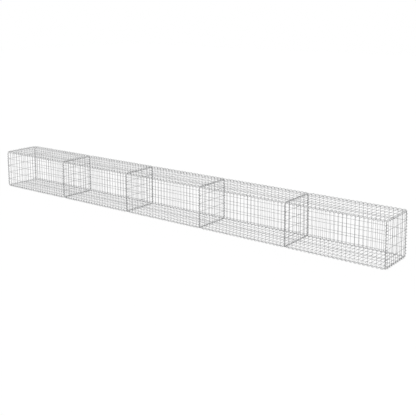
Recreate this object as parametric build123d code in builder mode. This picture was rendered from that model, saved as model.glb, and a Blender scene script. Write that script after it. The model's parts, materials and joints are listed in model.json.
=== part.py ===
import os
from math import acos, asin, cos, hypot, pi, sin, sqrt

from build123d import *

os.makedirs("parts", exist_ok=True)

# The basket stands on z = 0 with its long side on x, and the origin is under its centre
bay_count = 5
bay_length = 1200.0
depth = 500.0
height = 500.0

# Welded mesh: close wires across the panel in the outer layer, row wires behind them
wire = 3.5
layer_gap = 0.1
close_pitch = 50.0
row_pitch = 100.0
divider_pitch = 100.0

# The lids lie over the rims of the bays and swing about a line behind the back top edge
lid_clearance = 5.0
lid_spacing = 5.0

# A helical binder hangs each lid on the back panel, with one turn through each mesh opening
spiral_wire = 3.0
spiral_play = 0.3
spiral_sides = 6

sheet = 2 * wire + layer_gap
front = -depth / 2
back = depth / 2
inside_length = bay_length - sheet
inside_depth = depth - 2 * sheet
lid_length = bay_length - lid_spacing
lid_seat = height + lid_clearance

# The hinge line is as far from the lid as from the back panel, and the spiral clears both rims
hinge_offset = lid_clearance / 2
hinge_y = back + hinge_offset
hinge_z = height + hinge_offset
rim_reach = hypot(hinge_offset + wire, hinge_offset + sheet)
spiral_radius = (rim_reach + spiral_play + spiral_wire / 2) / cos(pi / spiral_sides)
spiral_cells = round(bay_length / close_pitch)
spiral_pitch = bay_length / spiral_cells
spiral_turns = spiral_cells - 1

# Shares of a turn from the front of the spiral to where it passes the close wires of the lid
# and of the back panel: its shift along the edge keeps it midway between them as the lid swings
lid_pass = asin((hinge_offset + sheet - wire / 2) / spiral_radius) / (2 * pi)
back_pass = acos((hinge_offset + wire / 2) / spiral_radius) / (2 * pi)
spiral_shift = spiral_pitch * (back_pass - lid_pass) / 2


def bay_centre(bay):
    return (bay - (bay_count + 1) / 2) * bay_length


def bay_line(line):
    return (line - bay_count / 2) * bay_length


def mesh_panel(face, length, width, full_length, full_width, cross_pitch=close_pitch):
    """Weld a flat panel inwards from its outer face: a rim, close wires and row wires.

    The wires have three sides, with a flat on the outer side of their layer. The full sizes run
    to the middle of the neighbours and set an even pitch over the whole row of bays.
    """
    cross_cells = round(full_length / cross_pitch)
    row_cells = round(full_width / row_pitch)
    inner_length = length - 2 * wire
    inner_width = width - 2 * wire
    cross_start = face.origin - face.y_dir * (inner_width / 2)
    row_start = face.origin - face.x_dir * (inner_length / 2)
    cross_plane = Plane(cross_start, x_dir=-face.x_dir, z_dir=face.y_dir)
    row_plane = Plane(row_start, x_dir=face.y_dir, z_dir=face.x_dir)
    layers = [
        (cross_plane, 0, full_length / cross_cells, cross_cells - 1, inner_width),
        (row_plane, wire + layer_gap, full_width / row_cells, row_cells - 1, inner_length),
    ]
    with BuildPart() as panel:
        with BuildSketch(face):
            Rectangle(length, width)
            Rectangle(inner_length, inner_width, mode=Mode.SUBTRACT)
        extrude(amount=sheet)
        for wire_plane, layer, pitch, count, run in layers:
            with BuildSketch(wire_plane):
                with Locations((0, layer + wire / sqrt(12))):
                    with GridLocations(pitch, 0, count, 1):
                        RegularPolygon(wire / sqrt(3), 3, rotation=90)
            extrude(amount=run)
    return panel


def hinge_spiral(middle):
    """Wind the binder of one lid about the hinge line, from the back over the top."""
    start = middle - spiral_turns / 2 * spiral_pitch + spiral_shift
    corners = []
    for step in range(spiral_turns * spiral_sides + 1):
        turn = step / spiral_sides
        angle = 2 * pi * turn
        y = hinge_y + spiral_radius * cos(angle)
        z = hinge_z - spiral_radius * sin(angle)
        corners.append(Vector(start + turn * spiral_pitch, y, z))
    with BuildPart() as spiral:
        with BuildLine():
            Polyline(*corners)
        with BuildSketch(Plane(corners[0], z_dir=corners[1] - corners[0])):
            RegularPolygon(spiral_wire / 2, 3)
        sweep(transition=Transition.RIGHT)
    return spiral


def save(piece, name):
    piece.part.label = name
    export_step(piece.part, f"parts/{name}.step")


# One front, back, floor, lid and hinge spiral to each bay
for bay in range(1, bay_count + 1):
    middle = bay_centre(bay)

    front_face = Plane(origin=(middle, front, height / 2), x_dir=(-1, 0, 0), z_dir=(0, 1, 0))
    save(mesh_panel(front_face, inside_length, height, bay_length, height), f"front_panel_{bay}")

    back_face = Plane(origin=(middle, back, height / 2), x_dir=(1, 0, 0), z_dir=(0, -1, 0))
    save(mesh_panel(back_face, inside_length, height, bay_length, height), f"back_panel_{bay}")

    floor_face = Plane(origin=(middle, 0, 0), x_dir=(1, 0, 0), z_dir=(0, 0, 1))
    save(mesh_panel(floor_face, inside_length, inside_depth, bay_length, depth), f"floor_panel_{bay}")

    lid_face = Plane(origin=(middle, 0, lid_seat + sheet), x_dir=(1, 0, 0), z_dir=(0, 0, -1))
    save(mesh_panel(lid_face, lid_length, depth, bay_length, depth), f"lid_{bay}")

    save(hinge_spiral(middle), f"hinge_spiral_{bay}")


def cross_face(line):
    origin = (bay_line(line) - sheet / 2, 0, height / 2)
    return Plane(origin=origin, x_dir=(0, 1, 0), z_dir=(1, 0, 0))


# Square panels stand across the row: dense ones at both ends, open ones between the bays
save(mesh_panel(cross_face(0), depth, height, depth, height), "left_end_panel")
save(mesh_panel(cross_face(bay_count), depth, height, depth, height), "right_end_panel")
for line in range(1, bay_count):
    divider = mesh_panel(cross_face(line), depth, height, depth, height, divider_pitch)
    save(divider, f"divider_{line}")
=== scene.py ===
"""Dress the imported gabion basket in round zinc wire, and set it in a white studio."""

import json
import math

import bmesh
import bpy
from mathutils import Matrix, Vector


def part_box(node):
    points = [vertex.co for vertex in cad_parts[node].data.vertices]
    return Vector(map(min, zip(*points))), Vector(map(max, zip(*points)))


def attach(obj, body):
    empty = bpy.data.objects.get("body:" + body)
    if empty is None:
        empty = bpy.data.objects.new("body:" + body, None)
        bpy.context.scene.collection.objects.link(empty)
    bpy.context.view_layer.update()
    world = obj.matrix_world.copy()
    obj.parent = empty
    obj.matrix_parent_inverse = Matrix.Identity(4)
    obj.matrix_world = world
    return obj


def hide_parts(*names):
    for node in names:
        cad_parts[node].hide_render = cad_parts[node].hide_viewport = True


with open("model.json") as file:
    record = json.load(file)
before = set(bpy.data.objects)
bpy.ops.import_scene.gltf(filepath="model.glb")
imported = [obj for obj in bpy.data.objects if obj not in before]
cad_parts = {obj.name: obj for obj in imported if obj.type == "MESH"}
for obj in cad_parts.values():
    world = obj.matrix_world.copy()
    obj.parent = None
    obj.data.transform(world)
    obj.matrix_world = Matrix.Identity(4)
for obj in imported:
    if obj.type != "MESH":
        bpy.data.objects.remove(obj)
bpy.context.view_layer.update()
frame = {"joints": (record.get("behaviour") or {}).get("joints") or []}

# Sizes in metres. The wall runs along x, its front looks to -y, and z is up from its underside
bay_count = 5
bay_length = 1.2
depth = 0.5
height = 0.5

# Openings of the mesh, from wire to wire. The close wires stand wider apart on the dividers
close_pitch = 0.05
divider_pitch = 0.1
row_pitch = 0.1

# Welding presses one layer of wires a little into the other, and squeezes out a flat bead
wire_radius = 0.00175
wire_sides = 10
weld_sink = 0.0004
weld_reach = 0.0026
weld_height = 0.0019
weld_meridians = 8
weld_rings = 5

# The lacing is wound of the same wire, and the hinge coils of a thinner one
lacing_wire_radius = wire_radius
hinge_wire_radius = 0.0015
spiral_wire_sides = 6
steps_a_turn = 20
right_handed = 1
left_handed = -1

# A spiral makes one turn to a close opening where it lies level, and three to a row upright
level_pitch = close_pitch
upright_pitch = row_pitch / 3
lacing_radius = 0.0125
front_top_radius = 0.0155

# The hinge coils have their nodes' turns, and are moved along the bay as the nodes are
hinge_coil_radius = 0.01315
hinge_coil_turns = 23
hinge_coil_shift = 0.0029

# Lacing ends short of a corner, clear of the lacing round it
corner_gap = 0.014

# Lines that the lacing winds about: how far they lie inside the outer faces of the panels, and how
# far above the bottom or the top of the bays
front_top_inset = 0.0025
front_top_rise = 0.0037
long_bottom_inset = 0.005
bottom_rise = 0.0036
end_inset = 0.0015
cross_inset = 0.0035
cross_top_rise = 0.0042

# How far these spirals are slipped along their edges, to have their turns as in the photograph
front_top_slip = -0.0094
front_bottom_slip = 0.0062
back_bottom_slip = 0.0125
right_upright_slip = 0.007

X = Vector((1, 0, 0))
Y = Vector((0, 1, 0))
Z = Vector((0, 0, 1))

BASKET = "basket"

# Places of the finishes after the wire's own in a piece's list
CUT = 1
WELD = 2


class Shade:
    """A socket of a material's nodes. Arithmetic on it adds Math nodes, with a number on either side."""

    def __init__(self, tree, socket=None):
        self.tree = tree
        self.socket = socket

    def node(self, kind, settings=None, inputs=None, output=0):
        """Add a node, with its settings first, then the values or links of its inputs."""
        made = self.tree.nodes.new(kind)
        for setting, value in (settings or {}).items():
            setattr(made, setting, value)
        for name, value in (inputs or {}).items():
            if isinstance(value, Shade):
                self.tree.links.new(value.socket, made.inputs[name])
            elif isinstance(value, tuple) and len(made.inputs[name].default_value) == 4:
                made.inputs[name].default_value = (*value, 1)
            else:
                made.inputs[name].default_value = value
        return Shade(self.tree, made.outputs[output] if len(made.outputs) else None)

    def maths(self, operation, first, second, clamp=False):
        settings = {"operation": operation, "use_clamp": clamp}
        return self.node("ShaderNodeMath", settings, {0: first, 1: second})

    def __add__(self, other):
        return self.maths("ADD", self, other)

    def __radd__(self, other):
        return self.maths("ADD", other, self)

    def __sub__(self, other):
        return self.maths("SUBTRACT", self, other)

    def __rsub__(self, other):
        return self.maths("SUBTRACT", other, self)

    def __mul__(self, other):
        return self.maths("MULTIPLY", self, other)

    def __rmul__(self, other):
        return self.maths("MULTIPLY", other, self)

    def clamped(self):
        return self.maths("ADD", self, 0.0, clamp=True)

    def noise(self, scale, detail=2.0, rough=0.5):
        inputs = {"Vector": self, "Scale": scale, "Detail": detail, "Roughness": rough}
        return self.node("ShaderNodeTexNoise", None, inputs)

    def crystals(self, scale):
        """A value for each of the cells that fill the space, as zinc crystals do."""
        cells = self.node("ShaderNodeTexVoronoi", None, {"Vector": self, "Scale": scale}, "Color")
        return self.node("ShaderNodeSeparateColor", None, {"Color": cells})

    def between(self, low, high):
        """0 below low and 1 above high, with a smooth step from one to the other."""
        inputs = {"Value": self, "From Min": low, "From Max": high}
        return self.node("ShaderNodeMapRange", {"interpolation_type": "SMOOTHSTEP"}, inputs)

    def blend(self, low, high):
        """Mix two colours, with this value as the factor."""
        return self.node("ShaderNodeMix", {"data_type": "RGBA"}, {0: self, 6: low, 7: high}, output=2)


def new_material(name):
    material = bpy.data.materials.new(name)
    material.use_nodes = True
    material.node_tree.nodes.clear()
    return material, Shade(material.node_tree)


def finish_metal(here, base, metallic, rough, bump):
    inputs = {"Base Color": base, "Metallic": metallic, "Roughness": rough, "Normal": bump}
    shader = here.node("ShaderNodeBsdfPrincipled", None, inputs)
    here.node("ShaderNodeOutputMaterial", None, {"Surface": shader})


def zinc_wire(name, fresh, dull, chalk, metallic, smooth_zinc, dull_zinc):
    """Hot-dipped zinc: small crystals, dull weathered lengths and a little chalky bloom."""
    crystal_share = 0.35
    crystal_shine = 1.35
    crystal_rough = 0.06
    bloom_share = 0.5
    bloom_rough = 0.15

    material, here = new_material(name)
    place = here.node("ShaderNodeTexCoord", output="Object")
    weathered = place.noise(scale=7.0, detail=4.0, rough=0.6).between(0.4, 0.62)
    crystals = place.crystals(scale=260.0)
    bloom = place.noise(scale=55.0, detail=5.0, rough=0.7).between(0.56, 0.72)
    grain = place.noise(scale=900.0, detail=3.0, rough=0.6)

    bright = tuple(channel * crystal_shine for channel in fresh)
    base = weathered.blend(fresh, dull)
    base = (crystals * crystal_share).blend(base, bright)
    base = (bloom * bloom_share).blend(base, chalk)
    rough = smooth_zinc + weathered * (dull_zinc - smooth_zinc)
    rough = rough + bloom * bloom_rough + crystals * crystal_rough
    relief = grain + bloom * bloom_share
    bump = here.node("ShaderNodeBump", None, {"Strength": 0.35, "Distance": 0.0004, "Height": relief})
    finish_metal(here, base, metallic, rough.clamped(), bump)
    return material


def cut_steel(name):
    """Sheared wire ends: bare steel with a first bloom of rust."""
    steel = (0.26, 0.26, 0.27)
    steel_rough = 0.38
    steel_metal = 0.9
    rusty = (0.17, 0.075, 0.035)
    rusty_rough = 0.78
    rusty_metal = 0.1

    material, here = new_material(name)
    place = here.node("ShaderNodeTexCoord", output="Object")
    rust = place.noise(scale=420.0, detail=3.0, rough=0.65).between(0.42, 0.6)
    base = rust.blend(steel, rusty)
    rough = steel_rough + rust * (rusty_rough - steel_rough)
    metallic = steel_metal - rust * (steel_metal - rusty_metal)
    relief = place.noise(scale=1400.0)
    bump = here.node("ShaderNodeBump", None, {"Strength": 0.5, "Distance": 0.0003, "Height": relief})
    finish_metal(here, base, metallic, rough, bump)
    return material


mesh_zinc = zinc_wire(
    "mesh_zinc",
    fresh=(0.355, 0.359, 0.363),
    dull=(0.25, 0.253, 0.256),
    chalk=(0.46, 0.46, 0.455),
    metallic=0.65,
    smooth_zinc=0.36,
    dull_zinc=0.58,
)
spiral_zinc = zinc_wire(
    "spiral_zinc",
    fresh=(0.37, 0.374, 0.378),
    dull=(0.26, 0.263, 0.266),
    chalk=(0.46, 0.46, 0.455),
    metallic=0.7,
    smooth_zinc=0.3,
    dull_zinc=0.5,
)
weld_zinc = zinc_wire(
    "weld_zinc",
    fresh=(0.28, 0.284, 0.288),
    dull=(0.2, 0.203, 0.206),
    chalk=(0.42, 0.42, 0.415),
    metallic=0.5,
    smooth_zinc=0.5,
    dull_zinc=0.7,
)
end_steel = cut_steel("end_steel")


def new_piece(name, bm, body, materials, nodes=()):
    """Make an object of the mesh, set it on its body and hide the nodes it stands for."""
    mesh = bpy.data.meshes.new(name)
    bm.to_mesh(mesh)
    bm.free()
    piece = bpy.data.objects.new(name, mesh)
    bpy.context.scene.collection.objects.link(piece)
    for material in materials:
        mesh.materials.append(material)
    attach(piece, body)
    if nodes:
        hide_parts(*nodes)
    return piece


def cap_cut(faces):
    """Give sheared ends their own finish and a sharp edge."""
    for face in faces:
        face.material_index = CUT
        for edge in face.edges:
            edge.smooth = False


def add_wire(bm, start, end, spans):
    """A round wire from start to end with sheared ends, divided into a span for each opening."""
    run = end - start
    place = Matrix.Translation((start + end) / 2) @ run.to_track_quat("Z", "X").to_matrix().to_4x4()
    made = bmesh.ops.create_cone(
        bm,
        cap_ends=True,
        segments=wire_sides,
        radius1=wire_radius,
        radius2=wire_radius,
        depth=run.length,
        matrix=place,
    )["verts"]
    faces = {face for vert in made for face in vert.link_faces}
    caps = [face for face in faces if len(face.verts) == wire_sides]
    for face in faces:
        face.smooth = len(face.verts) == 4
    cap_cut(caps)
    ring = {edge for face in caps for edge in face.edges}
    long_edges = [edge for vert in made for edge in vert.link_edges if edge not in ring]
    bmesh.ops.subdivide_edges(bm, edges=list(dict.fromkeys(long_edges)), cuts=spans - 1)


def add_weld(bm, place, outward):
    """A flattened bead where two wires are pressed together."""
    turn = outward.to_track_quat("Z", "X").to_matrix().to_4x4()
    flatten = Matrix.Diagonal((1, 1, weld_height / weld_reach, 1))
    made = bmesh.ops.create_uvsphere(
        bm,
        u_segments=weld_meridians,
        v_segments=weld_rings,
        radius=weld_reach,
        matrix=Matrix.Translation(place) @ turn @ flatten,
    )["verts"]
    for face in {face for vert in made for face in vert.link_faces}:
        face.smooth = True
        face.material_index = WELD


def add_copies(bm, stock, steps):
    """Add the stock's mesh at each step from its place, and free the stock."""
    mesh = bpy.data.meshes.new("stock")
    stock.to_mesh(mesh)
    stock.free()
    for step in steps:
        mesh.transform(Matrix.Translation(step))
        bm.from_mesh(mesh)
        mesh.transform(Matrix.Translation(-step))
    bpy.data.meshes.remove(mesh)


def wire_places(size, cells, pitch):
    """Places of the wires over a panel's size: both rims, then the wires between the cells."""
    rim = size / 2 - wire_radius
    return [-rim, rim] + [(cell - cells / 2) * pitch for cell in range(1, cells)]


def mesh_panel(
    name,
    node,
    body,
    along,
    across,
    outward,
    full_length,
    full_width,
    cross_pitch=close_pitch,
    rows_outside=False,
):
    """Weld a panel in its node's box: a layer of cross wires and a layer of row wires.

    The full sizes run to the middle of the neighbours and set how many openings the panel has. The
    cross wires lie in the outer layer, unless rows_outside is set.
    """
    low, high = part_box(node)
    size = high - low
    length = abs(size.dot(along))
    width = abs(size.dot(across))
    face = (low + high) / 2 + outward * (abs(size.dot(outward)) / 2)
    cross_layer = face - outward * wire_radius
    row_layer = cross_layer - outward * (2 * wire_radius - weld_sink)
    if rows_outside:
        cross_layer, row_layer = row_layer, cross_layer
    weld_layer = (cross_layer + row_layer) / 2

    cross_cells = round(full_length / cross_pitch)
    row_cells = round(full_width / row_pitch)
    cross_places = wire_places(length, cross_cells, cross_pitch)
    row_places = wire_places(width, row_cells, row_pitch)
    reach_along = along * (length / 2)
    reach_across = across * (width / 2)

    bm = bmesh.new()
    cross_wire = bmesh.new()
    add_wire(cross_wire, cross_layer - reach_across, cross_layer + reach_across, row_cells)
    for place in row_places:
        add_weld(cross_wire, weld_layer + across * place, outward)
    add_copies(bm, cross_wire, [along * place for place in cross_places])
    row_wire = bmesh.new()
    add_wire(row_wire, row_layer - reach_along, row_layer + reach_along, cross_cells)
    add_copies(bm, row_wire, [across * place for place in row_places])
    return new_piece(name, bm, body, [mesh_zinc, end_steel, weld_zinc], [node])


def wind_spiral(centre, along, length, radius, pitch, hand, wire, towards, angle=0.0):
    """Wind wire about a line from centre, with its first point turned by angle from towards."""
    bm = bmesh.new()
    turns = length / pitch
    steps = round(turns * steps_a_turn)
    spread = Matrix.Rotation(hand * angle, 3, along) @ towards
    ahead = hand * along.cross(spread) * (math.tau * radius / pitch) + along
    place = Matrix.Translation(centre + spread * radius)
    place = place @ ahead.to_track_quat("Z", "X").to_matrix().to_4x4()
    ring = bmesh.ops.create_circle(
        bm, cap_ends=False, segments=spiral_wire_sides, radius=wire, matrix=place
    )["verts"]
    edges = list({edge for vert in ring for edge in vert.link_edges})
    wound = bmesh.ops.spin(
        bm,
        geom=ring + edges,
        cent=centre,
        axis=along,
        dvec=along * (length / steps),
        angle=hand * math.tau * turns,
        steps=steps,
        use_duplicate=False,
    )
    last = [item for item in wound["geom_last"] if isinstance(item, bmesh.types.BMEdge)]
    bmesh.ops.holes_fill(bm, edges=edges + last, sides=spiral_wire_sides)
    bmesh.ops.recalc_face_normals(bm, faces=bm.faces)
    for face in bm.faces:
        face.smooth = len(face.verts) == 4
    cap_cut([face for face in bm.faces if len(face.verts) == spiral_wire_sides])
    return bm


def lace(start, along, length, sides, radius, pitch, hand, slip=0.0):
    """Lace panels together along an edge, with each turn through the openings beside their rims.

    The panels lie to two sides of the edge, a quarter turn or half a turn apart. The spiral passes
    through both on its way from one side to the other, midway between the wires that cross the
    edge at every pitch, or by slip further along.
    """
    first, last = sides
    if (along.cross(first) * hand).dot(last) < -0.5:
        first, last = last, first
    share = 0.5 if first.dot(last) < -0.5 else 0.25
    pass_at = pitch * (1 - share) / 2 + slip
    angle = math.tau * (corner_gap - pass_at) / pitch
    begin = start + along * corner_gap
    run = length - 2 * corner_gap
    return wind_spiral(begin, along, run, radius, pitch, hand, lacing_wire_radius, first, angle)


def bay_line(line):
    """Place along x of a line between bays, counted from 0 at the left end."""
    return (line - bay_count / 2) * bay_length


def long_lacing(name, y, z, sides, radius, hand, slip):
    """Lace one long edge of the basket, with one spiral to a bay."""
    lacing = bmesh.new()
    spiral = lace(Vector((0, y, z)), X, bay_length, sides, radius, level_pitch, hand, slip)
    add_copies(lacing, spiral, [X * bay_line(line) for line in range(bay_count)])
    new_piece(name, lacing, BASKET, [spiral_zinc, end_steel])


def cross_lacing(name, line):
    """Lace a cross panel up its front and back edges and along its top and bottom.

    At an end it is laced to the panels that meet it. Between bays it is laced to those on both
    sides, and each turn goes round its rim midway between its wires.
    """
    inward = {0: X, bay_count: -X}.get(line)
    x = bay_line(line) + (inward.x * end_inset if inward else 0.0)
    front_slip = right_upright_slip if line == bay_count else 0.0
    side = depth / 2 - cross_inset
    edges = [
        (Vector((x, -side, 0)), Z, height, Y, upright_pitch, left_handed, front_slip),
        (Vector((x, side, 0)), Z, height, -Y, upright_pitch, left_handed, 0.0),
        (Vector((x, -depth / 2, height + cross_top_rise)), Y, depth, -Z, level_pitch, right_handed, 0.0),
        (Vector((x, -depth / 2, bottom_rise)), Y, depth, Z, level_pitch, right_handed, 0.0),
    ]
    lacing = bmesh.new()
    for start, along, length, towards, pitch, hand, slip in edges:
        first = towards.cross(along) * hand
        sides = (inward, towards) if inward else (first, -first)
        spiral = lace(start, along, length, sides, lacing_radius, pitch, hand, slip)
        add_copies(lacing, spiral, [Vector()])
    new_piece(name, lacing, BASKET, [spiral_zinc, end_steel])


# Mesh of each bay
for bay in range(1, bay_count + 1):
    mesh_panel(f"front_mesh_{bay}", f"front_panel_{bay}", BASKET, X, Z, -Y, bay_length, height)
    mesh_panel(f"back_mesh_{bay}", f"back_panel_{bay}", BASKET, X, Z, Y, bay_length, height)
    floor_node = f"floor_panel_{bay}"
    mesh_panel(f"floor_mesh_{bay}", floor_node, BASKET, X, Y, -Z, bay_length, depth, rows_outside=True)
    lid = f"lid_{bay}"
    mesh_panel(f"lid_mesh_{bay}", lid, lid, X, Y, Z, bay_length, depth, rows_outside=True)

# Mesh across the wall
mesh_panel("left_end_mesh", "left_end_panel", BASKET, Y, Z, -X, depth, height)
mesh_panel("right_end_mesh", "right_end_panel", BASKET, Y, Z, -X, depth, height)
for line in range(1, bay_count):
    mesh_panel(f"divider_mesh_{line}", f"divider_{line}", BASKET, Y, Z, -X, depth, height, divider_pitch)

# Hinge coils about the lids' hinge lines, wound from the back over the top as the nodes are
coil_length = hinge_coil_turns * level_pitch
for joint in frame["joints"]:
    lid = joint["child"]
    bay = lid.removeprefix("lid_")
    start = Vector(joint["pos_m"]) + X * (hinge_coil_shift - coil_length / 2)
    coil = wind_spiral(
        start, X, coil_length, hinge_coil_radius, level_pitch, left_handed, hinge_wire_radius, Y
    )
    new_piece(f"hinge_coil_{bay}", coil, lid, [spiral_zinc, end_steel], [f"hinge_spiral_{bay}"])

# Lacing of the long edges, with the sides to which their panels lie
long_lacing(
    "front_top_lacing",
    front_top_inset - depth / 2,
    height + front_top_rise,
    (-Z, Y),
    front_top_radius,
    right_handed,
    front_top_slip,
)
long_lacing(
    "front_bottom_lacing",
    long_bottom_inset - depth / 2,
    bottom_rise,
    (Z, Y),
    lacing_radius,
    right_handed,
    front_bottom_slip,
)
long_lacing(
    "back_bottom_lacing",
    depth / 2 - long_bottom_inset,
    bottom_rise,
    (Z, -Y),
    lacing_radius,
    left_handed,
    back_bottom_slip,
)

# Lacing of the ends and dividers
for line in range(bay_count + 1):
    end_names = {0: "left_end_lacing", bay_count: "right_end_lacing"}
    cross_lacing(end_names.get(line, f"divider_lacing_{line}"), line)


# A white studio floor, just under the lacing that wraps the bottom edges
floor_size = 60.0
floor_level = -0.0108
floor_grey = 0.9
floor_glow = 0.8
glow_strength = 1.09

bm = bmesh.new()
bmesh.ops.create_grid(bm, x_segments=1, y_segments=1, size=floor_size / 2)
bmesh.ops.translate(bm, vec=(0, 0, floor_level), verts=bm.verts)
floor_mesh = bpy.data.meshes.new("floor")
bm.to_mesh(floor_mesh)
bm.free()
floor = bpy.data.objects.new("floor", floor_mesh)
bpy.context.scene.collection.objects.link(floor)
floor_paper, here = new_material("floor_paper")
seen = here.node("ShaderNodeLightPath", output="Is Camera Ray")
paper = here.node("ShaderNodeBsdfDiffuse", None, {"Color": (floor_grey, floor_grey, floor_grey)})
glow = here.node("ShaderNodeEmission", None, {"Strength": glow_strength})
mixed = here.node("ShaderNodeMixShader", None, {0: seen * floor_glow, 1: paper, 2: glow})
here.node("ShaderNodeOutputMaterial", None, {"Surface": mixed})
floor_mesh.materials.append(floor_paper)

# Even light from all round. The camera, glossy surfaces and glass see it as plain white
air_light = 0.5

world = bpy.data.worlds.new("studio")
bpy.context.scene.world = world
world.use_nodes = True
world.node_tree.nodes.clear()
here = Shade(world.node_tree)
camera_ray = here.node("ShaderNodeLightPath", output="Is Camera Ray")
glossy_ray = here.node("ShaderNodeLightPath", output="Is Glossy Ray")
through_ray = here.node("ShaderNodeLightPath", output="Is Transmission Ray")
white = (camera_ray + glossy_ray + through_ray).clamped()
strength = air_light + white * (1 - air_light)
sky = here.node("ShaderNodeBackground", None, {"Color": (1, 1, 1), "Strength": strength})
here.node("ShaderNodeOutputWorld", None, {"Surface": sky})

# A broad, low key light from the front right
key_energy = 1.7
key_spread = math.radians(30)
key_tilt = math.radians(64)
key_turn = math.radians(30)

lamp = bpy.data.lights.new("soft_key", "SUN")
lamp.energy = key_energy
lamp.angle = key_spread
key = bpy.data.objects.new("soft_key", lamp)
key.rotation_euler = (key_tilt, 0, key_turn)
bpy.context.scene.collection.objects.link(key)

# The camera stands in front, beyond the right end, and looks down and to the left
camera_place = (6.027, -7.0607, 2.654)
look_down = math.radians(8.9709)
look_left = math.radians(36.6891)
focal_pixels = 750.67
image_pixels = 416
centre_pixel = (223, 122.52)
sensor_width = 36

camera_data = bpy.data.cameras.new("camera")
camera_data.sensor_width = sensor_width
camera_data.lens = focal_pixels / image_pixels * sensor_width
camera_data.shift_x = 0.5 - centre_pixel[0] / image_pixels
camera_data.shift_y = centre_pixel[1] / image_pixels - 0.5
camera = bpy.data.objects.new("camera", camera_data)
camera.location = camera_place
camera.rotation_euler = (math.radians(90) - look_down, 0, look_left)
bpy.context.scene.collection.objects.link(camera)
bpy.context.scene.camera = camera
bpy.context.scene.view_settings.view_transform = "Standard"
